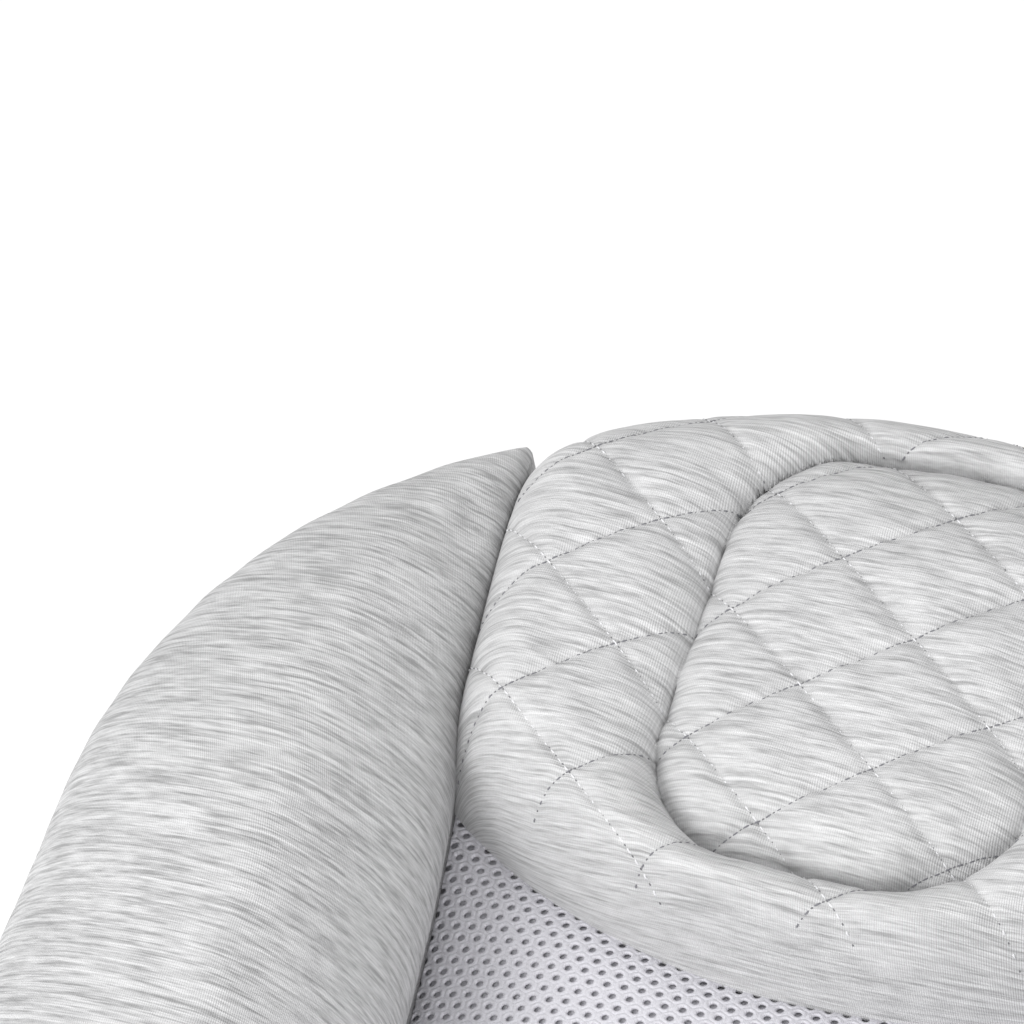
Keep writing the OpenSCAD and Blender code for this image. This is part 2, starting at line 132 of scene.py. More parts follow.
def seam(s):
    """Half the width between the inner seams of the two bolsters."""
    head = np.clip(SEAM_HEAD_U - SEAM_TAPER * (s - SEAM_HEAD_S), SEAM_LEAST_U, SEAM_MOST_U)
    return mix(head, SEAM_FOOT_U, ease(500, 660, s))


def seam_depth(s):
    return SEAM_RIM - SEAM_DROP * ease(20, 190, s) + SEAM_DROP * ease(590, 700, s)


def back_bend(s):
    """The head end rolls back a little over the ring."""
    return -HEAD_ROLL * np.clip((HEAD_ROLL_S - s) / HEAD_ROLL_LEN, 0, 1.2) ** 2


def middle_depth(s):
    return MIDDLE_RIM - MIDDLE_DROP * ease(170, 420, s) + MIDDLE_RISE * ease(480, 680, s)


def pad_top(u, s):
    a = np.clip(np.abs(u) / seam(s), 0, 1)
    return mix(middle_depth(s), seam_depth(s), a ** PAD_CURVE)


def insert_rim(u):
    """Head end of the insert; its corners fall back into the valley beside the bolsters."""
    return head_edge(u) + RIM_FALL * (np.abs(u) / INSERT_HALF) ** 3


def insert_edge(u):
    """Lower sewn edge of the head insert."""
    return INSERT_END - INSERT_RISE * (np.abs(u) / INSERT_HALF) ** INSERT_CURVE


def waves(x, y, scale, count, seed):
    """Smooth seeded variation in about -1..1 with features of roughly that size."""
    rng = np.random.default_rng(seed)
    total = 0
    for _ in range(count):
        angle, phase = rng.uniform(0, 2 * math.pi, 2)
        k = 2 * math.pi / (scale * rng.uniform(0.7, 1.6))
        total = total + np.sin(k * (x * math.cos(angle) + y * math.sin(angle)) + phase)
    return total / math.sqrt(count)


# ---------------------------------------------------------------- mesh helpers
def new_object(name, points, faces, body="seat"):
    mesh = bpy.data.meshes.new(name)
    mesh.from_pydata(points.reshape(-1, 3).tolist(), [], faces)
    mesh.update()
    mesh.shade_smooth()
    obj = bpy.data.objects.new(name, mesh)
    bpy.context.scene.collection.objects.link(obj)
    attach(obj, body)
    return obj


def grid_faces(rows, cols, close_cols=False):
    i, j = np.meshgrid(np.arange(rows - 1), np.arange(cols if close_cols else cols - 1), indexing="ij")
    k = (j + 1) % cols
    quads = np.stack([i * cols + j, i * cols + k, (i + 1) * cols + k, (i + 1) * cols + j], -1)
    return quads.reshape(-1, 4)


def facing_out(points, faces, outward):
    """Flips the faces if they look against the given direction on average."""
    p = points.reshape(-1, 3)
    q = p[faces[:, :4]]
    normal = np.cross(q[:, 2] - q[:, 0], q[:, 3] - q[:, 1])
    if (normal * outward).sum() < 0:
        faces = faces[:, ::-1]
    return faces


def set_weave(obj, across, along):
    """Cloth coordinates in metres, for the weave, knit and streaks of the materials."""
    values = np.stack([across, along, np.zeros_like(across)], -1).reshape(-1) * 0.001
    attribute = obj.data.attributes.new("cloth", "FLOAT_VECTOR", "POINT")
    attribute.data.foreach_set("vector", values)


def run_length(points, axis):
    """Distance in millimetres walked along one axis of a grid of points."""
    step = np.linalg.norm(np.diff(points, axis=axis), axis=-1) * 1000
    pad = [(0, 0)] * step.ndim
    pad[axis] = (1, 0)
    return np.cumsum(np.pad(step, pad), axis=axis)


def front_then_back(faces, front_count):
    """One sign per face: the front faces look along the given direction, the rest against it."""
    return np.where((np.arange(len(faces)) < front_count)[:, None], 1.0, -1.0)


def joined(parts):
    """Several pairs of points and faces as one pair, with the faces renumbered."""
    starts = np.cumsum([0] + [len(points) for points, _ in parts[:-1]])
    faces = [part[1] + start for part, start in zip(parts, starts)]
    return np.concatenate([points for points, _ in parts]), np.concatenate(faces).tolist()


def close_ends(faces, rows, cols):
    first = list(range(cols))
    last = [(rows - 1) * cols + j for j in range(cols)]
    return faces.tolist() + [first[::-1], last]


CLOTH_FRAMES, CLOTH_PRESSURE, CLOTH_STIFFNESS, CLOTH_MASS = 20, 4, 12, 0.2
PIN_REACH, NEIGHBOURS, NEIGHBOUR_SOFTENING = 0.006, 5, 0.002


def settle(cover, pin_at, voxel=0.007, limit=0.0022):
    """Inflates a coarse copy as cloth and moves the cover with it, by no more than the limit."""
    scene = bpy.context.scene
    coarse = bpy.data.objects.new("coarse", cover.data.copy())
    scene.collection.objects.link(coarse)
    remesh = coarse.modifiers.new("remesh", "REMESH")
    remesh.mode, remesh.voxel_size = "VOXEL", voxel

    def evaluated():
        graph = bpy.context.evaluated_depsgraph_get()
        return bpy.data.meshes.new_from_object(coarse.evaluated_get(graph), depsgraph=graph)

    def positions(mesh):
        flat = np.empty(3 * len(mesh.vertices))
        mesh.vertices.foreach_get("co", flat)
        return flat.reshape(-1, 3)

    base = evaluated()
    coarse.modifiers.clear()
    coarse.data = base
    before = positions(base)
    tree = KDTree(len(pin_at))
    for i, point in enumerate(pin_at):
        tree.insert(point, i)
    tree.balance()
    pins = [i for i, point in enumerate(before) if tree.find(point)[2] < PIN_REACH]
    coarse.vertex_groups.new(name="pinned").add(pins, 1.0, "REPLACE")
    cloth = coarse.modifiers.new("cloth", "CLOTH")
    settings = cloth.settings
    settings.quality, settings.mass = 5, CLOTH_MASS
    settings.tension_stiffness = settings.compression_stiffness = CLOTH_STIFFNESS
    settings.use_pressure, settings.uniform_pressure_force = True, CLOTH_PRESSURE
    settings.effector_weights.gravity = 0
    settings.vertex_group_mass = "pinned"
    cloth.point_cache.frame_start, cloth.point_cache.frame_end = 1, CLOTH_FRAMES
    for frame_number in range(1, CLOTH_FRAMES + 1):
        scene.frame_set(frame_number)
    moved = positions(evaluated()) - before
    scene.frame_set(1)
    bpy.data.objects.remove(coarse)
    size = np.linalg.norm(moved, axis=1, keepdims=True)
    moved *= np.minimum(1, limit / np.maximum(size, 1e-9))
    tree = KDTree(len(before))
    for i, point in enumerate(before):
        tree.insert(point, i)
    tree.balance()
    points = positions(cover.data)
    for i, point in enumerate(points):
        near = tree.find_n(point, NEIGHBOURS)
        weight = np.array([1 / (distance + NEIGHBOUR_SOFTENING) ** 2 for _, _, distance in near])
        points[i] = point + (moved[[k for _, k, _ in near]] * weight[:, None]).sum(0) / weight.sum()
    cover.data.vertices.foreach_set("co", points.reshape(-1))
    cover.data.update()


# ---------------------------------------------------------------- materials
class Nodes:
    """Short helpers round one node tree."""

    def __init__(self, name, **settings):
        self.material = bpy.data.materials.new(name)
        self.material.use_nodes = True
        self.tree = self.material.node_tree
        self.shader = self.tree.nodes["Principled BSDF"]
        for key, value in settings.items():
            self.shader.inputs[key.replace("_", " ")].default_value = value

    def add(self, kind, inputs=(), **props):
        node = self.tree.nodes.new(kind)
        for key, value in props.items():
            setattr(node, key, value)
        for key, value in dict(inputs).items():
            if isinstance(value, bpy.types.NodeSocket):
                self.tree.links.new(value, node.inputs[key])
            else:
                node.inputs[key].default_value = value
        return node

    def cloth(self, across, along, turn=0.0):
        """The cloth coordinates stretched to the given feature sizes in millimetres."""
        source = self.add("ShaderNodeAttribute", attribute_name="cloth").outputs["Vector"]
        scale = (1000 / across, 1000 / along, 1000 / along)
        mapping = self.add("ShaderNodeMapping", {"Vector": source, "Scale": scale})
        mapping.inputs["Rotation"].default_value = (0, 0, turn)
        return mapping.outputs["Vector"]

    def object_scale(self, size):
        source = self.add("ShaderNodeTexCoord").outputs["Object"]
        scale = [1000 / x for x in size] if isinstance(size, tuple) else [1000 / size] * 3
        return self.add("ShaderNodeMapping", {"Vector": source, "Scale": scale}).outputs["Vector"]

    def noise(self, vector, detail=2.0, rough=0.5, scale=1.0):
        node = self.add("ShaderNodeTexNoise", {"Vector": vector, "Scale": scale})
        node.inputs["Detail"].default_value = detail
        node.inputs["Roughness"].default_value = rough
        return node.outputs["Fac"]

    def ramp(self, factor, stops):
        node = self.add("ShaderNodeValToRGB", {"Fac": factor})
        elements = node.color_ramp.elements
        while len(elements) < len(stops):
            elements.new(0.5)
        for element, (position, colour) in zip(elements, stops):
            element.position = position
            element.color = (*colour, 1) if isinstance(colour, tuple) else (colour,) * 3 + (1,)
        return node.outputs["Color"]

    def math(self, operation, a, b=0.0, c=0.0):
        node = self.add("ShaderNodeMath", operation=operation)
        for socket, value in zip(node.inputs, (a, b, c)):
            if isinstance(value, bpy.types.NodeSocket):
                self.tree.links.new(value, socket)
            else:
                socket.default_value = value
        return node.outputs["Value"]

    def blend(self, factor, a, b, mode="MIX"):
        node = self.add("ShaderNodeMix", data_type="RGBA", blend_type=mode)
        for key, value in zip((0, 6, 7), (factor, a, b)):
            if isinstance(value, bpy.types.NodeSocket):
                self.tree.links.new(value, node.inputs[key])
            elif key == 0:
                node.inputs[key].default_value = value
            else:
                node.inputs[key].default_value = (*value, 1)
        return node.outputs[2]

    def wave(self, vector, axis, distortion=0.0, scale=1.0):
        node = self.add("ShaderNodeTexWave", {"Vector": vector, "Scale": scale}, bands_direction=axis)
        node.inputs["Distortion"].default_value = distortion
        return node.outputs["Fac"]

    def bump(self, height, distance, strength=1.0, normal=None):
        node = self.add("ShaderNodeBump", {"Height": height, "Distance": distance, "Strength": strength})
        if normal is not None:
            self.tree.links.new(normal, node.inputs["Normal"])
        return node.outputs["Normal"]

    def finish(self, colour=None, normal=None, roughness=None):
        for key, value in (("Base Color", colour), ("Normal", normal), ("Roughness", roughness)):
            if value is not None:
                self.tree.links.new(value, self.shader.inputs[key])
        return self.material


def heather_jersey(name, light=1.0, spread=1.0):
    """Melange jersey: long light and dark flecks across the cloth over a fine knit."""
    n = Nodes(name, Roughness=0.92, Sheen_Weight=0.25, Sheen_Roughness=0.5)
    n.shader.inputs["Specular IOR Level"].default_value = 0.15
    long_flecks = n.noise(n.cloth(24.0, 1.25), 3.0, 0.55)
    short_flecks = n.noise(n.cloth(8.0, 0.8), 2.0, 0.55)
    cloudy = n.noise(n.cloth(40.0, 14.0), 2.0, 0.5)
    mixed = n.math("MULTIPLY_ADD", short_flecks, 0.42, n.math("MULTIPLY", long_flecks, 0.53))
    mixed = n.math("MULTIPLY_ADD", cloudy, 0.05, mixed)
    shades = [(0.34, 0.33), (0.43, 0.46), (0.50, 0.56), (0.56, 0.63), (0.66, 0.73)]
    shades = [(0.5 + (p - 0.5) / spread, c) for p, c in shades]
    tone = n.ramp(mixed, [(p, tuple(light * c * k for k in (0.995, 0.995, 1.0))) for p, c in shades])
    wales = n.wave(n.cloth(0.56, 4.0), "X", 0.6, 0.314)
    rows = n.wave(n.cloth(3.0, 0.7), "Y", 0.8, 0.314)
    knit = n.math("MULTIPLY_ADD", rows, 0.35, wales)
    colour = n.blend(n.math("MULTIPLY", knit, 0.16), tone, (0.22, 0.22, 0.23))
    fuzz = n.noise(n.cloth(0.35, 0.35), 2.0, 0.6)
    height = n.math("MULTIPLY_ADD", fuzz, 0.6, knit)
    return n.finish(colour, n.bump(height, 0.00016, 0.8))


def spacer_material(name, shade):
    """Knitted spacer mesh: fine strands with a slight lilac grey."""
    n = Nodes(name, Roughness=0.7, Sheen_Weight=0.15)
    strands = n.wave(n.cloth(0.5, 2.0), "X", 2.5, 0.5)
    flecks = n.noise(n.cloth(0.8, 0.5), 3.0, 0.6)
    low = tuple(shade * k for k in (0.70, 0.69, 0.73))
    high = tuple(shade * k for k in (0.965, 0.955, 1.02))
    colour = n.ramp(n.math("MULTIPLY_ADD", strands, 0.4, flecks), [(0.35, low), (0.85, high)])
    return n.finish(colour, n.bump(strands, 0.00012, 0.7))


def thread_material(name, colour):
    """Twisted sewing thread with a soft shine."""
    n = Nodes(name, Roughness=0.45, Sheen_Weight=0.3)
    twist = n.wave(n.object_scale(0.35), "DIAGONAL", 1.0, 0.5)
    dark = tuple(0.7 * k for k in colour)
    return n.finish(n.ramp(twist, [(0.2, dark), (0.7, colour)]), n.bump(twist, 0.00005, 0.6))


def woven_material(name, light, dark, across=1.6, along=0.9):
    """Plain or webbing weave from two crossing waves."""
    n = Nodes(name, Roughness=0.85, Sheen_Weight=0.12)
    warp = n.wave(n.cloth(across, along), "X", 0.3, 0.5)
    weft = n.wave(n.cloth(across, along), "Y", 0.3, 0.5)
    weave = n.math("MULTIPLY", warp, weft)
    worn = n.noise(n.cloth(9.0, 14.0), 3.0, 0.6)
    tone = n.ramp(n.math("MULTIPLY_ADD", worn, 0.35, weave), [(0.1, dark), (0.75, light)])
    return n.finish(tone, n.bump(weave, 0.0002, 0.8))


def moulded_plastic(name, colour, rough=0.5):
    """Fine spark-eroded texture with slight tone changes and softer, paler wear."""
    n = Nodes(name)
    grain = n.noise(n.object_scale(0.45), 3.0, 0.6)
    cloud = n.noise(n.object_scale(26.0), 3.0, 0.5)
    wear = n.ramp(n.noise(n.object_scale(9.0), 5.0, 0.7), [(0.62, 0.0), (0.78, 1.0)])
    dark = tuple(0.86 * k for k in colour)
    pale = tuple(min(1, 1.18 * k + 0.01) for k in colour)
    tone = n.blend(n.math("MULTIPLY", wear, 0.35), n.ramp(cloud, [(0.3, dark), (0.7, colour)]), pale)
    gloss = n.ramp(cloud, [(0.3, rough - 0.06), (0.7, rough + 0.08)])
    return n.finish(tone, n.bump(grain, 0.00008, 0.5), gloss)


def painted_tube(name, colour):
    """Powder coat: faint orange peel, soft gloss changes and a little dust."""
    n = Nodes(name, Metallic=0.15, Coat_Weight=0.15)
    n.shader.inputs["Coat Roughness"].default_value = 0.25
    peel = n.noise(n.object_scale(1.6), 2.0, 0.5)
    cloud = n.noise(n.object_scale(45.0), 4.0, 0.6)
    dark = tuple(0.9 * k for k in colour)
    tone = n.ramp(cloud, [(0.3, dark), (0.65, colour)])
    gloss = n.ramp(cloud, [(0.3, 0.30), (0.7, 0.42)])
    return n.finish(tone, n.bump(peel, 0.00005, 0.5), gloss)


def brushed_steel(name, colour):
    n = Nodes(name, Metallic=1.0)
    lines = n.noise(n.object_scale((9.0, 0.25, 0.25)), 3.0, 0.6)
    tone = n.ramp(lines, [(0.3, tuple(0.8 * k for k in colour)), (0.7, colour)])
    return n.finish(tone, n.bump(lines, 0.00003, 0.5), n.ramp(lines, [(0.3, 0.25), (0.7, 0.42)]))


def rubber(name, colour):
    n = Nodes(name)
    grain = n.noise(n.object_scale(0.9), 4.0, 0.7)
    dust = n.noise(n.object_scale(14.0), 4.0, 0.6)
    tone = n.ramp(dust, [(0.35, colour), (0.75, tuple(1.5 * k for k in colour))])
    return n.finish(tone, n.bump(grain, 0.00015, 0.6), n.ramp(dust, [(0.3, 0.7), (0.7, 0.9)]))


JERSEY = heather_jersey("heather_jersey", 0.98, 1.35)
INSERT_JERSEY = heather_jersey("insert_jersey", 1.03, 1.1)
MESH_CLOTH = spacer_material("spacer_mesh", 0.74)
MESH_BACKING = spacer_material("spacer_backing", 0.68)
SILVER_THREAD = thread_material("silver_thread", (0.86, 0.86, 0.88))
# Thread of quilting family 0: real stitching, with its dark grey colour as painted crease shade.
CREASE_SHADE_THREAD = thread_material("thread_painted_crease_shade", (0.20, 0.20, 0.22))
# Needle-hole marks: painted shade, small dark raised dots standing for the shade inside the holes.
PRICK_SHADE = thread_material("needle_hole_painted_shade", (0.17, 0.17, 0.18))
SLING_CLOTH = woven_material("sling_cloth", (0.15, 0.155, 0.165), (0.05, 0.052, 0.06))
WEBBING = woven_material("webbing", (0.30, 0.31, 0.33), (0.12, 0.125, 0.135), 2.2, 1.1)
FRAME_FINISHES = {
    "frame_tube": painted_tube("frame_coat", (0.62, 0.63, 0.65)),
    "steel_ring": painted_tube("ring_coat", (0.10, 0.10, 0.11)),
    "bright_steel": brushed_steel("brushed_steel", (0.62, 0.62, 0.63)),
    "dark_nylon": moulded_plastic("dark_nylon", (0.085, 0.09, 0.10), 0.55),
    "grey_plastic": moulded_plastic("grey_plastic", (0.20, 0.205, 0.215), 0.45),
    "button_plastic": moulded_plastic("button_plastic", (0.42, 0.43, 0.45), 0.42),
    "foot_rubber": rubber("foot_rubber", (0.035, 0.035, 0.037)),
}


def finish_frame():
    """Gives each CAD node that stays in view the finish of its own material slot."""
    slots = {part["node"]: part["material_slot"] for part in frame["record"]["subparts"]}
    for name, obj in frame["nodes"].items():
        finish = FRAME_FINISHES.get(slots[name])
        if finish:
            obj.data.materials.clear()
            obj.data.materials.append(finish)


# ---------------------------------------------------------------- side bolsters
BOLSTER_FIRST_S, BOLSTER_END_GAP = 18.5, 15.0
CREST_HEAD, CREST_SIDE, CREST_FOOT_DROP = 17.0, 37.0, 4.0


def edge_distance(u, s):
    """Distance in from the seat's outer line, nearly square to it."""
    slope = (outline(s + 1) - outline(s - 1)) / 2
    return np.clip(outline(s) - np.abs(u), 0, None) / np.sqrt(1 + slope ** 2)


def bolster_height(u, s):
    """Front face of the left and right roll between the sewn seam and the outer edge."""
    inner, outer = seam(s), outline(s)
    width = np.maximum(outer - inner, 1.0)
    d_in = u - inner
    d_out = edge_distance(u, s)
    thick = np.sqrt(np.clip(width / 62, 0, 1))
    rise_in = dome(d_in, np.minimum(28, 0.5 * width))
    rise_out = dome(d_out, np.minimum(58, 0.62 * width + 4))
    crest = mix(CREST_HEAD, CREST_SIDE, ease(10, 145, s)) - CREST_FOOT_DROP * ease(520, 700, s)
    return back_bend(s) + seam_depth(s) * (1 - rise_in) + crest * thick * rise_in * rise_out


def bolster(side):
    """Closed cover of one side roll; side is -1 for the left and 1 for the right."""
    rows, front, back = 330, 74, 40
    along = 0.5 - 0.5 * np.cos(np.linspace(0, math.pi, rows))
    s = mix(BOLSTER_FIRST_S, RING_LEN - BOLSTER_END_GAP, along)[:, None]
    a_front = 0.5 - 0.5 * np.cos(np.linspace(0, math.pi, front))
    a_back = 0.5 + 0.5 * np.cos(np.linspace(0, math.pi, back + 2)[1:-1])
    inner = seam(s)
    width = np.maximum(outline(s) - inner, 1.5)
    u_front = inner + 0.3 + (width - 0.3) * a_front[None, :]
    rise = dome(u_front - inner, np.minimum(28, 0.5 * width))
    # The stuffed roll leans a little over its own seam.
    lean = mix(3.0, 7.0, ease(80, 140, s)) * 4 * rise * (1 - rise) * np.clip(width / 60, 0, 1)
    u_back = inner + 0.3 + (width - 0.3) * a_back[None, :]
    w_front = bolster_height(u_front, s)
    w_back = back_bend(s) - BACK_DEPTH * dome(edge_distance(u_back, s), BACK_ROLL)
    # Below the ring the roll hangs deepest at its seam, where the sling is sewn on.
    share = np.clip((u_back - inner) / width, 0, 1)
    w_back = w_back + np.minimum(seam_depth(s) + SLING_SEAM_LIFT, 0) * (1 - share) ** 2
    u = np.concatenate([u_front - lean, u_back], 1)
    w = np.concatenate([w_front, w_back], 1)
    s_all = np.broadcast_to(s, u.shape)
    w = w + 0.9 * waves(u, s_all, 85, 6, 11) + 0.3 * waves(u * 0.5, s_all, 16, 8, 12)
    points = place(u * side, s_all, w)
    faces = grid_faces(rows, front + back, close_cols=True)
    centre = points.mean(axis=1, keepdims=True)
    outward = (points - centre).reshape(-1, 3)[faces[:, 0]]
    faces = facing_out(points, faces, outward)
    obj = new_object("bolster_" + ("right" if side > 0 else "left") + "_cover",
                     points, close_ends(faces, rows, front + back))
    set_weave(obj, run_length(points, 1) + 400 * (side > 0), s_all)
    obj.data.materials.append(JERSEY)
    return obj


# ---------------------------------------------------------------- quilted head insert
TRACK_HALF_W, TRACK_HALF_L, TRACK_CORNER, TRACK_S = 48.0, 62.0, 33.0, 67.0
CHANNEL_DEPTH = 14.0
BORDER_CREST, PANEL_CREST, PANEL_ROLL, RIM_ROLL = 24.0, 22.0, 30.0, 24.0
PILLOW = 2.1
CROWDING = 0.72
INSERT_GAP = 0.4


def track_distance(u, s):
    """Signed distance to the sewn racetrack channel, positive outside it."""
    x = np.abs(u) - TRACK_HALF_W + TRACK_CORNER
    y = np.abs(s - TRACK_S) - TRACK_HALF_L + TRACK_CORNER
    outside = np.hypot(np.maximum(x, 0), np.maximum(y, 0))
    return outside + np.minimum(np.maximum(x, y), 0) - TRACK_CORNER


def lattice(u, s):
    """Quilting coordinates; stitch lines run where either one is a whole number."""
    i, j = (u - LATTICE_U) / (DIAMOND_W / 2), (LATTICE_S - s) / (DIAMOND_L / 2)
    return (i + j) / 2, (i - j) / 2


def insert_height(u, s, quilted=True):
    half = seam(s)
    d_seam = half - np.abs(u)
    d_low = (insert_edge(u) - s) * 0.92
    d_rim = s - insert_rim(u)
    q = track_distance(u, s)
    d_edge = np.minimum(np.minimum(d_seam, d_low), d_rim)
    border = np.clip(0.5 * (np.maximum(q, 0) + d_edge), 7, 24) if quilted else 20.0
    low = mesh_height(u, insert_edge(u)) - 1.5
    base = mix(0.0, low, np.clip((s + 13) / (insert_edge(u) + 13), 0, 1))
    share = np.clip(np.abs(u) / half, 0, 1)
    base = mix(base, seam_depth(s) - 1, share ** 8)
    rise = dome(d_seam, border) * dome(d_low, border) * dome(d_rim, RIM_ROLL)
    crest = np.where((q < 0) & quilted, PANEL_CREST, BORDER_CREST)
    channel = 1 - dome(np.abs(q), np.where(q > 0, border, PANEL_ROLL))
    p, r = lattice(u, s)
    pillow = np.power(np.abs(np.sin(math.pi * p) * np.sin(math.pi * r)) + 1e-9, 0.5)
    line = np.minimum(np.abs(p - np.round(p)), np.abs(r - np.round(r))) * 29.5
    # Small gathers cross each line of stitches and fade out over a few millimetres.
    gathers = waves(u, s, 5.0, 7, 21) * np.exp(-line / 3.2) * 0.22
    ripples = waves(u, s, 19.0, 7, 22) * 0.35
    soft = np.clip(d_edge / 8, 0, 1)
    quilt = soft * (PILLOW * (pillow - 0.62) - 0.7 * np.exp(-((line / 1.5) ** 2)) + gathers + ripples)
    roll = back_bend(s) + base + (crest - base) * rise
    return roll - CHANNEL_DEPTH * channel + quilt if quilted else roll


def insert_point(u, s):
    return place(u, s, insert_height(u, s))


def end_row(a, edge):
    """Seat position where each column of the insert meets one of its curved ends."""
    s = edge(a * INSERT_HALF)
    for _ in range(5):
        s = edge(a * (seam(s) - INSERT_GAP))
    return s[None, :]


def head_insert():
    cols, front, back = 296, 216, 60
    a = np.linspace(-1, 1, cols)
    # The columns stand closer together towards the two sides.
    a = np.sin(a * math.pi / 2 * CROWDING) / math.sin(math.pi / 2 * CROWDING)
    low_end, rim = end_row(a, insert_edge), end_row(a, insert_rim)
    t = np.linspace(0, 1, front)
    t = mix(t, 0.5 - 0.5 * np.cos(math.pi * t), 0.6)[:, None]
    s = mix(low_end, rim, t)
    u = a[None, :] * (seam(s) - INSERT_GAP)
    w = insert_height(u, s)
    top_back = np.linspace(0, 1, back + 1)[1:, None]
    s_back = mix(rim, low_end + 8, top_back ** 2)
    u_back = a[None, :] * (seam(s_back) - INSERT_GAP)
    depth = mix(s_back - rim, edge_distance(u_back, s_back), np.abs(a[None, :]) ** 4)
    w_back = back_bend(s_back) - BACK_DEPTH * dome(depth, BACK_ROLL)
    w_back = w_back + 0.8 * waves(u_back, s_back, 60, 5, 31) * (1 - a[None, :] ** 4)
    w_back = w_back + np.minimum(seam_depth(s_back) + SLING_SEAM_LIFT, 0) * mix(0.35, 1.0, a[None, :] ** 2)
    s, u, w = (np.concatenate(pair) for pair in ((s, s_back), (u, u_back), (w, w_back)))
    points = place(u, s, w)
    faces = grid_faces(front + back, cols)
    outward = front_then_back(faces, (front - 1) * (cols - 1))
    faces = facing_out(points, faces, outward * BACK_NORMAL)
    obj = new_object("head_insert_cover", points, faces.tolist())
    # The flecks run straight across the panel: lengths are measured both ways from its middle.
    plain = place(u, s, np.concatenate([insert_height(u[:front], s[:front], False), w_back]))
    length = run_length(plain, 0)
    middle = [np.interp(-TRACK_S, -s[:front, k], length[:front, k]) for k in range(cols)]
    set_weave(obj, u + 900, length - np.array(middle)[None, :] + 300)
    obj.data.materials.append(INSERT_JERSEY)
    return obj


# ---------------------------------------------------------------- stitching
QUILT_LINES, QUILT_REACH, STITCH_PITCH = 8, 260, 3.0
STITCH_LENGTH, STITCH_RADIUS = 0.0021, 0.00024
PRICK_LENGTH, PRICK_RADIUS = 0.0010, 0.00020


def stitch_row(centres, along, up, length, radius):
    """Short rounded threads: one per centre, dipping into the cloth at both ends."""
    along = along / np.linalg.norm(along, axis=1, keepdims=True)
    up = up - along * (up * along).sum(1, keepdims=True)
    up = up / np.linalg.norm(up, axis=1, keepdims=True)
    side = np.cross(along, up)
    steps, sides = np.linspace(-1, 1, 7), 6
    angle = np.arange(sides) * 2 * math.pi / sides
    rings = []
    for t in steps:
        r = radius * math.sqrt(max(1 - t ** 4, 0.02))
        centre = centres + along * (t * length / 2) + up * (radius * (0.75 - 1.5 * t * t))
        ring = centre[:, None] + r * (
            side[:, None] * np.cos(angle)[None, :, None] + up[:, None] * np.sin(angle)[None, :, None])
        rings.append(ring)
    points = np.stack(rings, 1)
    one = grid_faces(len(steps), sides, close_cols=True)
    count = len(steps) * sides
    faces = (one[None] + (np.arange(len(centres)) * count)[:, None, None]).reshape(-1, 4)
    return points.reshape(-1, 3), faces


def surface_frame(point_at, u, s, du, ds):
    """Points on a surface, the direction of travel and the outward normal there."""
    e = 0.4
    centre = point_at(u, s)
    along = point_at(u + du * e, s + ds * e) - point_at(u - du * e, s - ds * e)
    across = point_at(u - ds * e, s + du * e) - point_at(u + ds * e, s - du * e)
    normal = np.cross(along, across)
    normal = normal * np.sign((normal * BACK_NORMAL).sum(1, keepdims=True))
    return centre, along, normal


def quilting(family):
    """Stitches of one of the two diagonal families of quilting lines, with small dark dots between them as
    painted needle-hole shade; the grey family's dark thread colour is painted crease shade.
    """
    threads, hole_shade_marks = [], []
    run = np.array([DIAMOND_W, -DIAMOND_L if family else DIAMOND_L])
    run = run / np.linalg.norm(run)
    distance = np.arange(-QUILT_REACH, QUILT_REACH, STITCH_PITCH)
    for line in range(-QUILT_LINES, QUILT_LINES + 1):
        # A start point on this line of the lattice, then equal steps along it.
        u = LATTICE_U + line * DIAMOND_W + run[0] * distance
        s = LATTICE_S - run[1] * distance
        keep = (np.abs(u) < seam(s) - 3) & (s < insert_edge(u) - 2.5) & (s > insert_rim(u) + 3)
        u, s = u[keep], s[keep]
        if len(u) < 2:
            continue
        at = surface_frame(insert_point, u, s, run[0], -run[1])
        threads.append(stitch_row(*at, STITCH_LENGTH, STITCH_RADIUS))
        # Dark dots halfway between the stitches: painted needle-hole shade.
        half = STITCH_PITCH / 2 * run
        at = surface_frame(insert_point, u + half[0], s - half[1], run[0], -run[1])
        hole_shade_marks.append(stitch_row(*at, PRICK_LENGTH, PRICK_RADIUS))
    name = "quilting_silver" if family else "quilting_shaded_thread"
    thread = new_object(name, *joined(threads))
    # Family 0 gets thread darkened as painted crease shade; family 1 keeps the pale thread.
    thread.data.materials.append(SILVER_THREAD if family else CREASE_SHADE_THREAD)
    holes = new_object(name + "_painted_hole_shade", *joined(hole_shade_marks))
    holes.data.materials.append(PRICK_SHADE)


# ---------------------------------------------------------------- spacer mesh seat pad
HOLE_PITCH, HOLE_ROW = 4.7, 2.95
HOLE_HALF_W, HOLE_HALF_L = 1.08, 0.92
NET_START = 96.0
TUCK_WIDTH, EDGE_WIDTH = 18.0, 9.0
SHEET_EDGE_U, SHEET_OVERLAP = 106.0, 6.0


def mesh_height(u, s):
    """Face of the pad, tucked under the insert and down into the bolsters' seams."""
    tuck = 1 - dome(np.clip(s - insert_edge(u) + 2, 0, None), TUCK_WIDTH)
    edge = 1 - dome(np.clip(seam(s) - np.abs(u), 0, None), EDGE_WIDTH)
    return pad_top(u, s) - 5 * tuck - 2 * edge * (1 - tuck) + 0.5 * waves(u, s, 70, 5, 41)


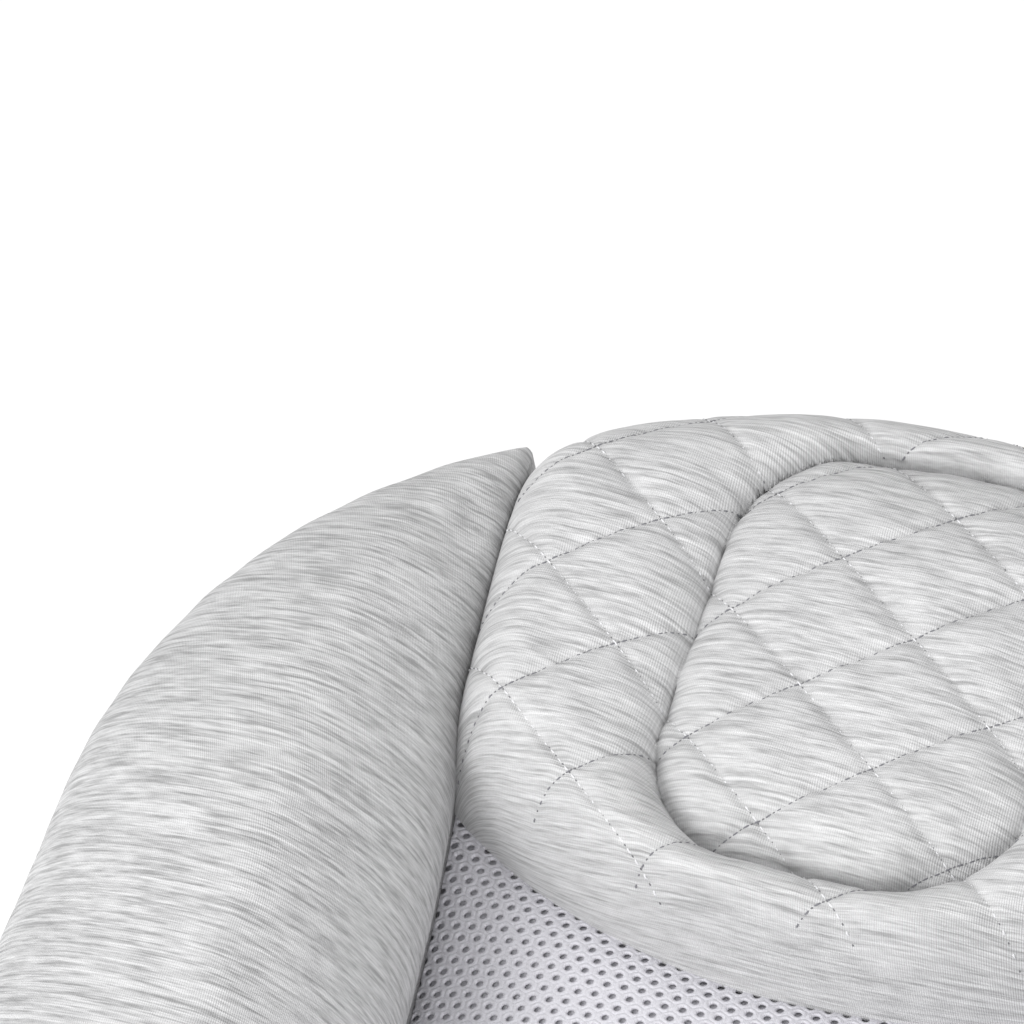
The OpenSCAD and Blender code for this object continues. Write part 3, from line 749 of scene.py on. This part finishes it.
def mesh_sheet(name, first, last, corners):
    """Hexagonal net of oval holes with rounded strands, laid over the pad's surface."""
    row_i, col_i = np.meshgrid(np.arange(first, last), np.arange(-26, 27), indexing="ij")
    cu = (col_i + 0.5 * (row_i % 2)) * HOLE_PITCH
    cs = NET_START + row_i * HOLE_ROW
    keep = (np.abs(cu) < seam(cs) + 3) & (cs > insert_edge(cu) - 8) & (cs < CUSHION_START + SHEET_OVERLAP)
    cu, cs = cu[keep], cs[keep]
    cell = np.array([[HOLE_PITCH / 2 * x, HOLE_ROW * y] for x, y in
                     [(1, 1 / 3), (0, 2 / 3), (-1, 1 / 3), (-1, -1 / 3), (0, -2 / 3), (1, -1 / 3)]])
    if corners == 12:
        cell = np.stack([cell, (cell + np.roll(cell, -1, 0)) / 2], 1).reshape(12, 2)
    angle = np.arctan2(cell[:, 1] / HOLE_ROW, cell[:, 0] / HOLE_PITCH)
    hole = np.stack([HOLE_HALF_W * np.cos(angle), HOLE_HALF_L * np.sin(angle)], 1)
    rings = [(cell, 0.0), (mix(cell, hole * 1.1, 0.5), 0.25), (hole, 0.0), (hole * 0.94, -1.0)]
    grids = [(cu[:, None] + shape[None, :, 0], cs[:, None] + shape[None, :, 1]) for shape, _ in rings]
    points = np.stack([place(u, s, mesh_height(u, s) + lift)
                       for (u, s), (_, lift) in zip(grids, rings)], 1)
    one = grid_faces(len(rings), corners, close_cols=True)
    faces = (one[None] + (np.arange(len(cu)) * len(rings) * corners)[:, None, None]).reshape(-1, 4)
    faces = facing_out(points, faces, UP)
    obj = new_object(name, points, faces.tolist())
    set_weave(obj, np.stack([u for u, _ in grids], 1), np.stack([s for _, s in grids], 1))
    obj.data.materials.append(MESH_CLOTH)
    return obj


def sheet_between(name, lift, material, first_gap, tuck=0.0, outward=1.0):
    """A smooth layer that follows the seat at a given depth under its mesh face."""
    rows, cols = 150, 60
    a = np.linspace(-1, 1, cols)
    b = np.linspace(0, 1, rows)[:, None]
    s = mix(insert_edge(a * SHEET_EDGE_U)[None, :] + first_gap, CUSHION_START + SHEET_OVERLAP, b)
    u = a[None, :] * (seam(s) - 0.5)
    points = place(u, s, mesh_height(u, s) + lift + tuck * (1 - ease(0, 0.05, b)))
    faces = facing_out(points, grid_faces(rows, cols), outward * UP)
    obj = new_object(name, points, faces.tolist())
    set_weave(obj, u, s)
    obj.data.materials.append(material)
    return obj


# ---------------------------------------------------------------- foot cushion
def foot_cushion():
    cols, front, back = 90, 80, 36
    a = np.linspace(-1, 1, cols)
    t = (0.5 - 0.5 * np.cos(math.pi * np.linspace(0, 1, front)))[:, None]
    edge = foot_edge(a * SEAM_FOOT_U)[None, :]
    s = mix(CUSHION_START + 0 * edge, edge, t)
    u = a[None, :] * (seam(s) - INSERT_GAP)
    d = np.minimum(np.minimum(s - CUSHION_START, edge - s), seam(s) - np.abs(u))
    base = mix(pad_top(u, CUSHION_START), 0.0, ease(CUSHION_START, 715, s))
    puff = dome(s - CUSHION_START, 20) * dome(edge - s, 26) * dome(seam(s) - np.abs(u), 14)
    w = base + 20 * puff + 0.5 * waves(u, s, 30, 6, 51) * np.clip(d / 8, 0, 1)
    tb = np.linspace(0, 1, back + 1)[1:, None]
    s_back = edge - 92 * tb ** 2
    u_back = a[None, :] * (seam(s_back) - INSERT_GAP)
    depth = mix(edge - s_back, edge_distance(u_back, s_back), np.abs(a[None, :]) ** 4)
    w_back = np.minimum(pad_top(u_back, s_back) + SLING_SEAM_LIFT, 0) * ease(0, 50, edge - s_back)
    w_back = w_back - BACK_DEPTH * dome(depth, BACK_ROLL)
    s, u, w = (np.concatenate(pair) for pair in ((s, s_back), (u, u_back), (w, w_back)))
    points = place(u, s, w)
    faces = grid_faces(front + back, cols)
    outward = front_then_back(faces, (front - 1) * (cols - 1))
    faces = facing_out(points, faces, outward * UP)
    obj = new_object("foot_cushion_cover", points, faces.tolist())
    set_weave(obj, u + 1500, run_length(points, 0))
    obj.data.materials.append(JERSEY)
    return obj


# ---------------------------------------------------------------- harness webbing
BUCKLE_S, BUCKLE_LIFT = 402.0, 8.0
CROTCH_NEAR, CROTCH_FAR = 19.3, 55.0
STRAP_ROWS = 40
STRAP_W, STRAP_T = 25.0, 1.6


def strap(name, u_line, s_line, w_at, across_u):
    """Flat webbing along a line; w_at gives the height of its underside."""
    cols = 14
    e = np.linspace(-0.5, 0.5, cols) * STRAP_W
    u = u_line[:, None] + (e[None, :] if across_u else 0 * e[None, :])
    s = s_line[:, None] + (0 * e[None, :] if across_u else e[None, :])
    w = w_at(u, s)
    edge = 0.5 * (1 - np.abs(e / STRAP_W * 2) ** 6)[None, :]
    top = place(u, s, w + STRAP_T * (0.5 + edge))
    low = place(u, s, w + STRAP_T * (0.5 - edge))[:, ::-1]
    points = np.concatenate([top, low], 1)
    rows = len(u_line)
    faces = facing_out(points, grid_faces(rows, 2 * cols, close_cols=True),
                       np.tile(np.r_[np.ones(cols), -np.ones(cols)], rows - 1)[:, None]
                       * np.array([0, 0, 1.0]))
    obj = new_object(name, points, close_ends(faces, rows, 2 * cols))
    set_weave(obj, np.broadcast_to(np.r_[e, e[::-1]], (rows, 2 * cols)), run_length(points, 0))
    obj.data.materials.append(WEBBING)
    return obj


def buckle_height():
    return middle_depth(np.array(BUCKLE_S)) + BUCKLE_LIFT


def belt_height(u, s):
    """The belt leaves the buckle's tongue and settles onto the seat pad."""
    return mix(buckle_height() + 6.4, mesh_height(u, s) + 1.2, ease(44, 76, np.abs(u)))


def harness():
    tongue_end = 1000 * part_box("buckle_tongues")[1][0]
    for side, name in ((-1, "left"), (1, "right")):
        u = side * np.linspace(tongue_end + 0.3, seam(np.array(BUCKLE_S)) - 2, STRAP_ROWS)
        s = np.full(STRAP_ROWS, BUCKLE_S)
        piece = strap("waist_webbing_" + name, u, s, belt_height, False)
        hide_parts("waist_strap_" + name)
    start, end = BUCKLE_S + CROTCH_NEAR, BUCKLE_S + CROTCH_FAR

    def crotch_height(u, s):
        return mix(buckle_height() + 5, mesh_height(u, s) + 0.8, ease(start, end - 8, s))

    s = np.linspace(start, end, STRAP_ROWS)
    piece = strap("crotch_webbing", np.zeros(STRAP_ROWS), s, crotch_height, True)
    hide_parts("crotch_strap")


# ---------------------------------------------------------------- build everything
finish_frame()
for side, name in ((-1, "left"), (1, "right")):
    cover = bolster(side)
    along_seam = np.linspace(16, RING_LEN - 15, 400)
    settle(cover, place(side * (seam(along_seam) + 0.3), along_seam, seam_depth(along_seam)))
    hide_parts("bolster_" + name)
cover = head_insert()
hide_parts("head_insert")
quilting(0)
quilting(1)
net = mesh_sheet("mesh_upper", 0, 54, corners=12)
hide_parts("seat_pad")
mesh_sheet("mesh_lower", 54, 186, corners=6)
sheet_between("mesh_backing", -1.5, MESH_BACKING, first_gap=-16.0)
sling = sheet_between("sling_cover", -19.0, SLING_CLOTH, first_gap=-10.0, tuck=7.0, outward=-1.0)
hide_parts("support_sling")
cushion = foot_cushion()
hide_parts("foot_cushion")
harness()

# ---------------------------------------------------------------- studio
AZIMUTH, ELEVATION, DISTANCE = math.radians(20.9), math.radians(32.0), 1.2
FRAME_MM, SENSOR_MM, AIM_LEFT = 256.0, 36, 0.1109
LAMPS = (("key", (-1.1, -1.5, 1.1), 24, 1.0), ("fill", (0.9, -1.9, 0.8), 16, 1.2))
LAMP_AIM = (0, 0.1, 0.3)
FLOOR_HALF = 6.0


def studio():
    """Pale floor, large soft lights and the long-lens camera."""
    scene = bpy.context.scene
    scene.view_settings.view_transform = "Standard"
    world = bpy.data.worlds.new("studio")
    world.use_nodes = True
    world.node_tree.nodes["Background"].inputs["Color"].default_value = (1, 1, 1, 1)
    world.node_tree.nodes["Background"].inputs["Strength"].default_value = 0.95
    scene.world = world
    mesh = bpy.data.meshes.new("floor")
    corners = [(-1, -1), (1, -1), (1, 1), (-1, 1)]
    mesh.from_pydata([(FLOOR_HALF * x, FLOOR_HALF * y, 0) for x, y in corners], [], [(0, 1, 2, 3)])
    floor = bpy.data.objects.new("floor", mesh)
    scene.collection.objects.link(floor)
    n = Nodes("floor_paint", Roughness=0.8)
    speck = n.noise(n.object_scale(60.0), 3.0, 0.5)
    n.finish(n.ramp(speck, [(0.3, (0.985, 0.985, 0.985)), (0.7, (0.99, 0.99, 0.99))]))
    mesh.materials.append(n.material)
    for name, spot, energy, size in LAMPS:
        light = bpy.data.lights.new(name, "AREA")
        light.energy, light.size = energy, size
        lamp = bpy.data.objects.new(name, light)
        lamp.location = spot
        lamp.rotation_euler = (Vector(LAMP_AIM) - Vector(spot)).to_track_quat("-Z", "Y").to_euler()
        scene.collection.objects.link(lamp)
    flat = math.cos(ELEVATION)
    back = np.array([math.sin(AZIMUTH) * flat, -math.cos(AZIMUTH) * flat, math.sin(ELEVATION)])
    right = np.array([math.cos(AZIMUTH), math.sin(AZIMUTH), 0])
    crown = place(LATTICE_U, LATTICE_S, 20.0)
    aim = crown - right * AIM_LEFT
    camera = bpy.data.cameras.new("camera")
    camera.sensor_width = SENSOR_MM
    camera.lens = SENSOR_MM * DISTANCE * 1000 / FRAME_MM
    camera.clip_start = 0.05
    eye = bpy.data.objects.new("camera", camera)
    eye.location = aim + back * DISTANCE
    eye.rotation_euler = Vector(-back).to_track_quat("-Z", "Y").to_euler()
    scene.collection.objects.link(eye)
    scene.camera = eye


studio()
